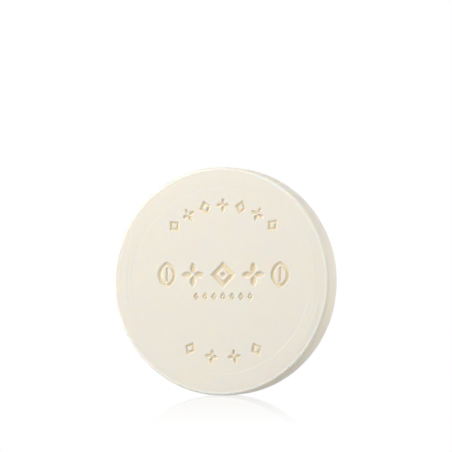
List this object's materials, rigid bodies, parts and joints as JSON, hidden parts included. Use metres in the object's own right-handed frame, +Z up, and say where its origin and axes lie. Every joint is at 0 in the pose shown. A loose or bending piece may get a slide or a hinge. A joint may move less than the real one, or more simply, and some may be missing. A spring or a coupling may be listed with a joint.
{
  "type": "shaving soap puck",
  "caption": "Round flat disc of pressed hard soap with softly rounded edges and a shallow stamped ornament on one face.",
  "frame": {"origin": "the middle of the small flat on the rim that the puck stands on, midway between the stamped face and the back", "axes": "+Z up; the disc's axis along Y, with the stamped face towards -Y; +X to the right of someone who reads the face"},
  "size_m": [0.092, 0.013, 0.0919],
  "materials": {
    "soap": "smooth pressed cream-coloured soap, slightly waxy, between matte and satin"
  },
  "bodies": {
    "root": {"soap_puck": "soap"}
  },
  "joints": []
}
